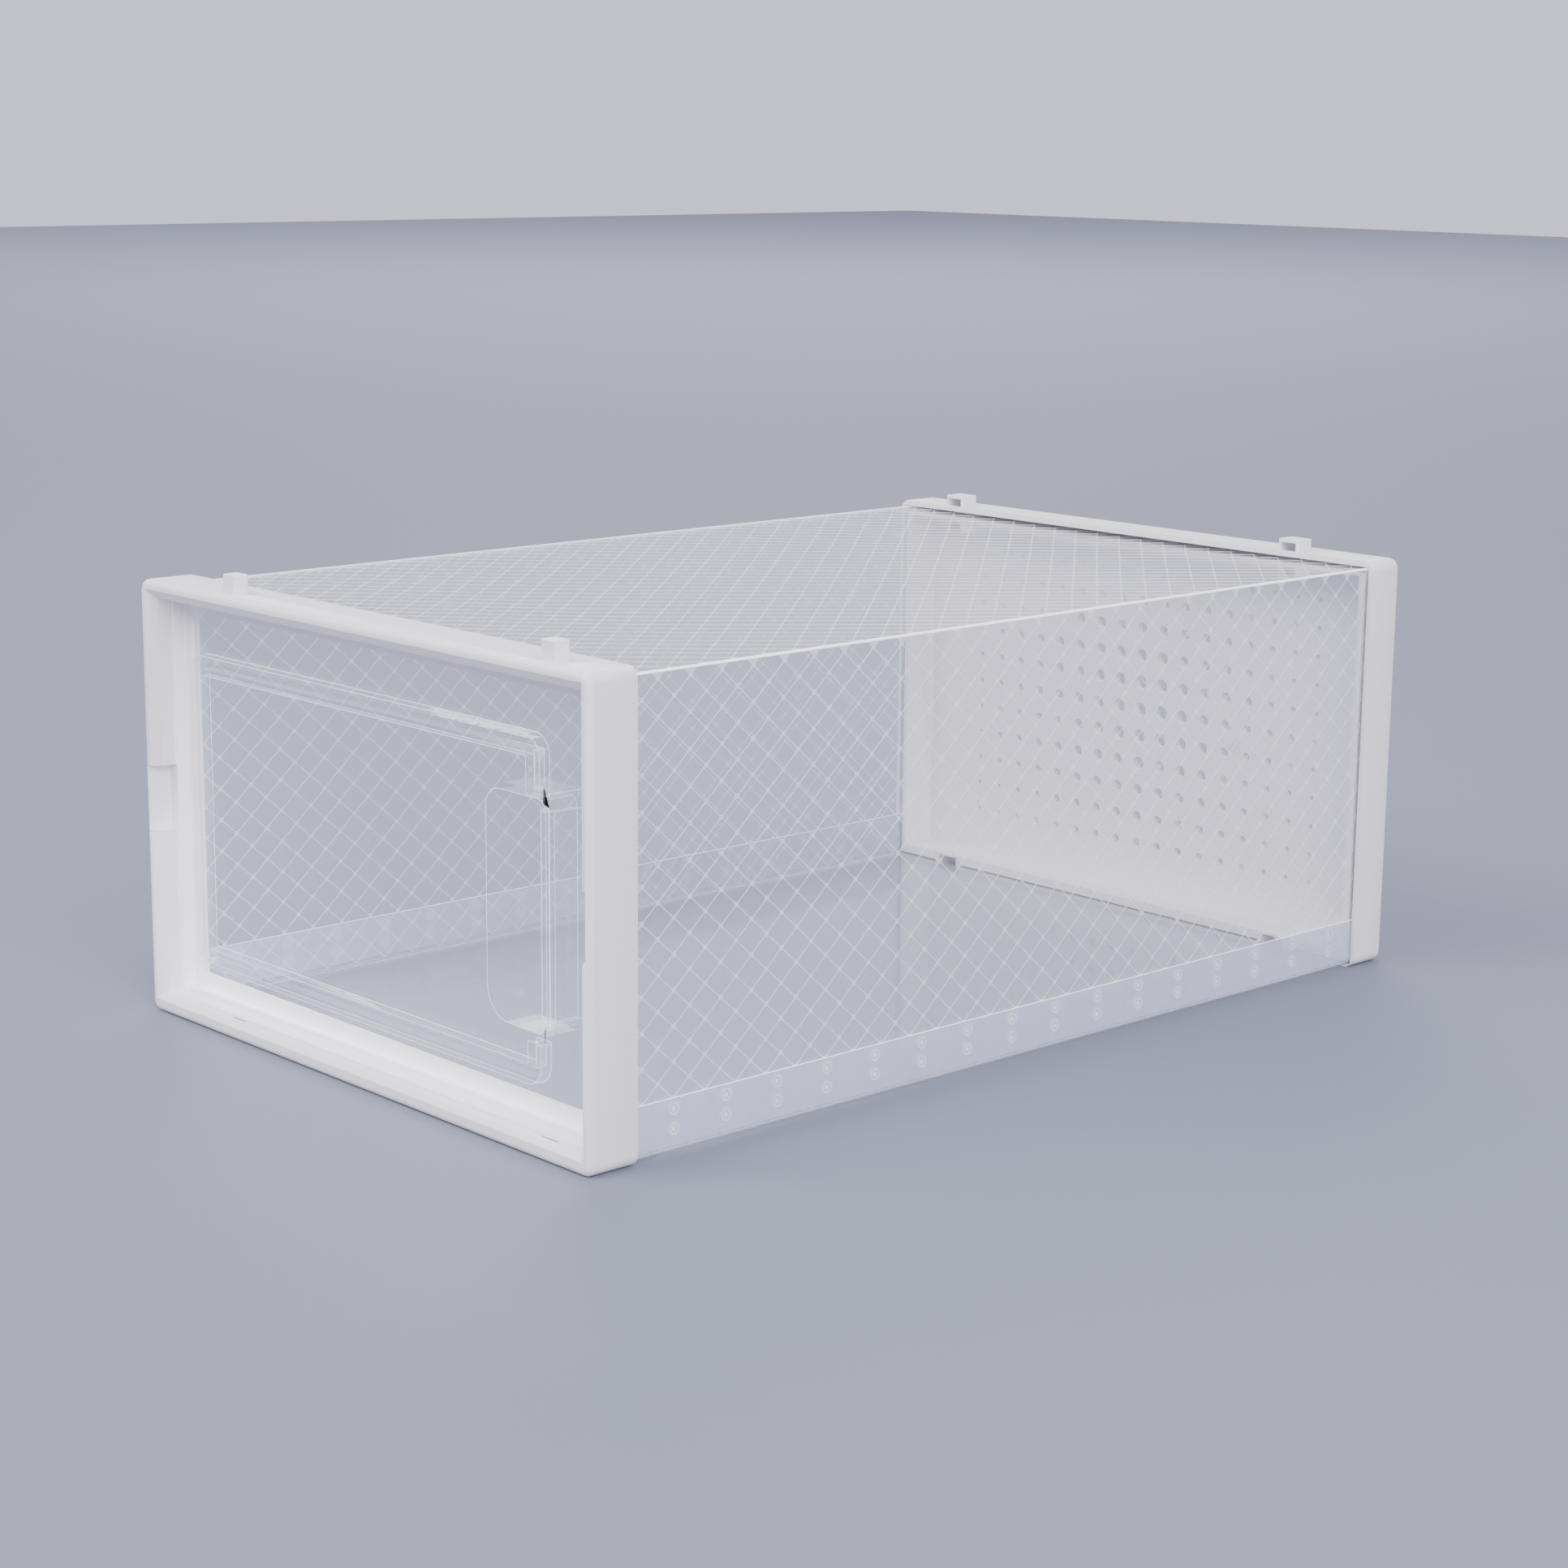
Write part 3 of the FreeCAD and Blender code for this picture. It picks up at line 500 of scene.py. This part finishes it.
# %% Let the top sag
SAG = 1.0 * MM
SAG_START = 10 * MM
SAG_RUN = 60 * MM
held_x = fold_x - 2 * MM
for vertex in sleeve.data.vertices:
    if vertex.co.z > high.z - 1.2 * MM and abs(vertex.co.x) < held_x:
        across = 1 - (vertex.co.x / held_x) ** 2
        along = min(1.0, max(0.0, (vertex.co.y - low.y - SAG_START) / SAG_RUN))
        vertex.co.z -= SAG * across * along * along * (3 - 2 * along)
pick(sleeve)
bpy.ops.object.shade_flat()
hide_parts("top_sheet")
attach(sleeve, "sleeve")
say(sleeve)

# %% [markdown]
# ## The bottom sheet and its welds
# The bottom is a second, plainer sheet with a narrow flap turned up outside each wall.
# Two rows of hot-tool welds hold it to the sleeve, and each one leaves a cloudy patch
# with a small dimpled ring in its middle.

# %% Bottom sheet finish
weld_low, weld_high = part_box("weld_spots_right")
WELD_RING = 1.75 * MM
WELD_COLUMNS = 16
WELD_ROWS = (weld_low.z + WELD_RING, weld_high.z - WELD_RING)
weld_first = weld_low.y + WELD_RING
weld_pitch = (weld_high.y - weld_low.y - 2 * WELD_RING) / (WELD_COLUMNS - 1)


def flap_haze(finish):
    """Cloudy on the flaps, cloudier round each weld, and nearly clear underneath."""
    parts = finish.node("ShaderNodeSeparateXYZ", None, {"Vector": finish.place()})
    x, y, z = (Value(finish, parts.socket.node.outputs[i]) for i in range(3))
    turns = (y - weld_first) / weld_pitch + 0.5
    along = (turns.maths("FRACT") - 0.5) * weld_pitch
    halo = None
    for row in WELD_ROWS:
        rise = z - row
        away = (along * along + rise * rise).maths("SQRT")
        patch = 1 - away.smooth(1.4 * MM, 3.4 * MM)
        halo = patch if halo is None else halo.maths("MAXIMUM", patch)
    streaks = finish.noise(9 * MM, 3.0, (1, 1, 0.5))
    on_flap = z.smooth(2.0 * MM, 3.0 * MM)
    cloud = 0.3 + streaks * 0.18 + halo * 0.12
    return cloud * on_flap + 0.1


flap_film = clear_film("hazy_flap", flap_haze, 0.9, (0.74, 0.78, 0.92, 1))

# %% Bottom sheet
floor_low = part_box("bottom_sheet")[0]
floor_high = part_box("bottom_tongues")[1]
bpy.ops.object.select_all(action="DESELECT")
middle = (floor_low + floor_high) / 2
bpy.ops.mesh.primitive_cube_add(size=1, location=(0, middle.y, middle.z))
tray = bpy.context.object
tray.name = "bottom_tray"
tray.scale = floor_high - floor_low
settle(tray)
choose(tray, "polygons", lambda face: face.normal.z > 0.5 or abs(face.normal.y) > 0.5)
bpy.ops.mesh.delete(type="FACE")
leave()
clip_low, clip_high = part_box("rear_clips")
CLIP_WIDTH = 8.4 * MM
BOSS_MARGIN = 2.1 * MM
BOSS_HALF = CLIP_WIDTH / 2 + BOSS_MARGIN
notch_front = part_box("bottom_tongues")[0].y
clip_centres = (clip_low.x + CLIP_WIDTH / 2, clip_high.x - CLIP_WIDTH / 2)
edit()
slice_sheet((0, notch_front, 0), (0, -1, 0), False)
for centre in clip_centres:
    for side in (-1, 1):
        slice_sheet((centre + side * BOSS_HALF, 0, 0), (1, 0, 0), False)
leave()


def in_notch(face):
    """True for the floor's faces that make way for the rear moulding's two sockets."""
    near_clip = min(abs(face.center.x - centre) for centre in clip_centres) < BOSS_HALF
    return near_clip and face.center.y > notch_front and face.normal.z < -0.5


choose(tray, "polygons", in_notch)
bpy.ops.mesh.delete(type="FACE")
leave()


def low_edge(edge):
    """True for the long bottom edges, where the flaps turn up."""
    ends = [tray.data.vertices[i].co for i in edge.vertices]
    at_side = all(abs(abs(end.x) - floor_high.x) < TINY for end in ends)
    return at_side and all(end.z < floor_low.z + TINY for end in ends)


FLAP_ROUND = 1.0 * MM
choose(tray, "edges", low_edge)
bpy.ops.mesh.bevel(offset=FLAP_ROUND, segments=4, affect="EDGES")
leave()
tray_wall = tray.modifiers.new("thickness", "SOLIDIFY")
tray_wall.thickness = SHEET_GAUGE
tray_wall.offset = -1
tray_wall.use_even_offset = True
tray.data.materials.append(flap_film)
tray.data.materials.append(crease_highlight_film)
apply_all(tray)
# The flaps' top edges take the crease finish, a painted highlight.
paint(tray, 1, lambda face: face.normal.z > 0.9 and face.center.z > floor_high.z - TINY)
bpy.ops.object.shade_smooth_by_angle(angle=math.radians(40))
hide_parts("bottom_sheet", "bottom_tongues")
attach(tray, "sleeve")
say(tray)

# %% One weld
weld_film = clear_film("melted_weld", 0.12, 1.0, (0.8, 0.83, 0.9, 1), 0.12)
# The weld's rim ring and centre dot: their cloudier, whiter plastic is real, and their faint emission
# is a painted glint.
weld_rim_painted_glint = clear_film("weld_rim_painted_glint", 0.8, 1.0, (0.97, 0.975, 1.0, 1), 0.12, painted_glow=0.15)
bpy.ops.object.select_all(action="DESELECT")
bpy.ops.mesh.primitive_cylinder_add(
    vertices=20, radius=WELD_RING, depth=0.5 * MM, location=(0, 0, 0.05 * MM)
)
weld = bpy.context.object
weld.name = "weld"
settle(weld)
choose(weld, "polygons", lambda face: face.normal.z > 0.9)
for step_in, step_up in ((0.3, 0), (0.45, -0.22), (0.4, 0.06)):
    bpy.ops.mesh.inset(thickness=step_in * MM, depth=step_up * MM)
leave()
weld.data.materials.append(weld_film)
weld.data.materials.append(weld_rim_painted_glint)
# The rim ring and the centre dot take the cloudy finish with its painted glint.
paint(weld, 1, lambda face: face.center.z > 0.28 * MM or face.center.xy.length < 0.2 * MM)
say(weld)

# %% Every weld
for side, node in ((-1, "weld_spots_left"), (1, "weld_spots_right")):
    copies = []
    for column in range(WELD_COLUMNS):
        for row in WELD_ROWS:
            twin = bpy.data.objects.new("weld_copy", weld.data.copy())
            bpy.context.scene.collection.objects.link(twin)
            where = Vector((side * floor_high.x, weld_first + column * weld_pitch, row))
            twin.matrix_world = Matrix.Translation(where) @ Matrix.Rotation(side * math.pi / 2, 4, "Y")
            copies.append(twin)
    bpy.ops.object.select_all(action="DESELECT")
    for twin in copies:
        twin.select_set(True)
    bpy.context.view_layer.objects.active = copies[0]
    bpy.ops.object.join()
    welds = bpy.context.object
    welds.name = node.replace("spots", "rings")
    settle(welds)
    bpy.ops.object.shade_smooth_by_angle(angle=math.radians(50))
    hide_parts(node)
    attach(welds, "sleeve")
    say(welds)
bpy.data.objects.remove(weld)

# %% [markdown]
# ## The clear door
# The door is a clear moulding of flat walls, which shift what is behind them but hardly bend
# it. So its inside passes light straight on, with reflections and a trace of milky haze added.
# On the real door the sharp edges gather light into thin bright lines; here those lines are
# painted highlights: the small rounds get a milky finish with a painted glow, and so does a
# narrow strip that an inset leaves along the outline of each wide flat face at the front and
# round the finger pocket. The edges at the back stay plain.

# %% Door finish
def clear_moulding(name, haze, painted_glow):
    """Clear plastic with many walls: light goes straight on through all of them."""
    finish = Finish(name)
    through = finish.node("ShaderNodeBsdfPrincipled", None, {
        "Base Color": (0.985, 0.99, 1.0, 1), "Roughness": 0.0, "IOR": 1.0,
        "Transmission Weight": 1.0,
    })
    wave = finish.bump(finish.noise(14 * MM, 2.0), 0.1 * MM, 0.3)
    mirror = finish.node("ShaderNodeBsdfAnisotropic", None, {
        "Color": (1, 1, 1, 1), "Roughness": 0.04, "Normal": wave,
    })
    # The haze shader also carries any painted glow, as an emission.
    milk_and_glow = finish.node("ShaderNodeBsdfPrincipled", None, {
        "Base Color": (0.95, 0.955, 0.985, 1), "Roughness": 0.25,
        "Emission Color": (1, 1, 1, 1), "Emission Strength": painted_glow,
    })
    body = finish.blend(haze, finish.blend(finish.glance() * 0.8, through, mirror), milk_and_glow)
    open_side = finish.node("ShaderNodeBsdfTransparent", None, {"Color": (0.97, 0.97, 0.98, 1)})
    path = finish.node("ShaderNodeLightPath", output="Is Shadow Ray")
    return finish.show(finish.blend(path, body, open_side))


# %% Door
door_clear = clear_moulding("clear_door", 0.03, 0.0)
# Painted highlight: a milky finish with an emission, for the door's edge rounds and outline strips.
door_edge_highlight = clear_film("painted_door_edge_highlight", 0.7, 1.0, (0.97, 0.97, 1.0, 1), 0.1, painted_glow=0.35)
door = softened(["door"], "door_moulding", 0.25 * MM, "door", [door_clear, door_edge_highlight])


# %% Painted highlight outlines on the door's flat faces
def plane_of(face):
    """The plane a face lies in: its direction and its distance, rounded."""
    facing = tuple(round(part, 2) + 0.0 for part in face.normal)
    return facing, round(face.normal.dot(face.center) / MM, 1)


# Slot 1 is the door's painted edge highlight, slot 0 its clear plastic.
CLEAR, PAINTED_HIGHLIGHT = range(2)
POCKET_RUN = 32 * MM
STRIP = 0.25 * MM
WIDE_AREA = 60 * MM * MM
pocket_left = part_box("door")[1].x - POCKET_RUN
areas = {}
for face in door.data.polygons:
    front_facing = face.normal.y < -0.9
    if front_facing or face.center.x > pocket_left:
        areas[plane_of(face)] = areas.get(plane_of(face), 0.0) + face.area
wide_planes = [plane for plane, area in areas.items() if area > WIDE_AREA]
for plane in wide_planes:
    choose(door, "polygons", lambda face: plane_of(face) == plane and face.material_index == CLEAR)
    assign(door, PAINTED_HIGHLIGHT)
    bpy.ops.mesh.inset(thickness=STRIP, depth=0, use_individual=False)
    assign(door, CLEAR)
    leave()
print("flat faces with a bright outline:", len(wide_planes))

# %% Plain edges on the door's back
FRONT_DEPTH = 4.2 * MM
front_skin = min(v.co.y for v in door.data.vertices) + FRONT_DEPTH
paint(door, CLEAR, lambda face: face.center.y > front_skin and face.center.x < pocket_left)
say(door)

# %% [markdown]
# ## Studio
# A pale floor runs far back. One large soft lamp stands in front, a second fills from the
# right, and a third hangs over the floor far behind, so that the background stays bright.

# %% Floor
floor_finish = Finish("studio_floor")
floor_finish.show(floor_finish.node("ShaderNodeBsdfPrincipled", None, {
    "Base Color": (0.195, 0.212, 0.265, 1), "Roughness": 0.7,
}))
bpy.ops.object.select_all(action="DESELECT")
bpy.ops.mesh.primitive_plane_add(size=12, location=(0, 0, 0))
floor = bpy.context.object
floor.name = "studio_floor"
floor.data.materials.append(floor_finish.material)

# %% Lamps and sky
def lamp(name, place, target, size, power):
    """A round soft lamp that points at a target."""
    light = bpy.data.lights.new(name, "AREA")
    light.shape = "DISK"
    light.size = size
    light.energy = power
    holder = bpy.data.objects.new(name, light)
    bpy.context.scene.collection.objects.link(holder)
    holder.location = place
    aim = Vector(target) - Vector(place)
    holder.rotation_euler = aim.to_track_quat("-Z", "Y").to_euler()


lamp("key", (-0.6, -1.5, 1.9), (0, 0, 0.05), 1.6, 50)
lamp("fill", (1.75, -0.75, 1.2), (0, -0.1, 0.06), 1.4, 48)
lamp("far", (-3.2, 3.0, 2.6), (-3.2, 3.0, 0), 3.0, 150)
sky = bpy.data.worlds.new("studio")
sky.use_nodes = True
backdrop = sky.node_tree.nodes["Background"].inputs
backdrop["Color"].default_value = (0.575, 0.565, 0.70, 1)
backdrop["Strength"].default_value = 1.6
bpy.context.scene.world = sky

# %% Camera
azimuth = math.radians(47.328)
elevation = math.radians(11.974)
roll = math.radians(0.562)
level = Vector((-math.sin(azimuth), math.cos(azimuth), 0))
ahead = level * math.cos(elevation) - Vector((0, 0, math.sin(elevation)))
right = Vector((math.cos(azimuth), math.sin(azimuth), 0))
up = right.cross(ahead)
side_axis = right * math.cos(roll) + up * math.sin(roll)
up_axis = up * math.cos(roll) - right * math.sin(roll)
eye = Vector((0.7208, -0.6675, 0.2740))
lens = bpy.data.cameras.new("camera")
lens.lens = 72.5
lens.sensor_width = 36
camera = bpy.data.objects.new("camera", lens)
bpy.context.scene.collection.objects.link(camera)
turn = Matrix((side_axis, up_axis, -ahead)).transposed().to_4x4()
camera.matrix_world = Matrix.Translation(eye) @ turn
bpy.context.scene.camera = camera
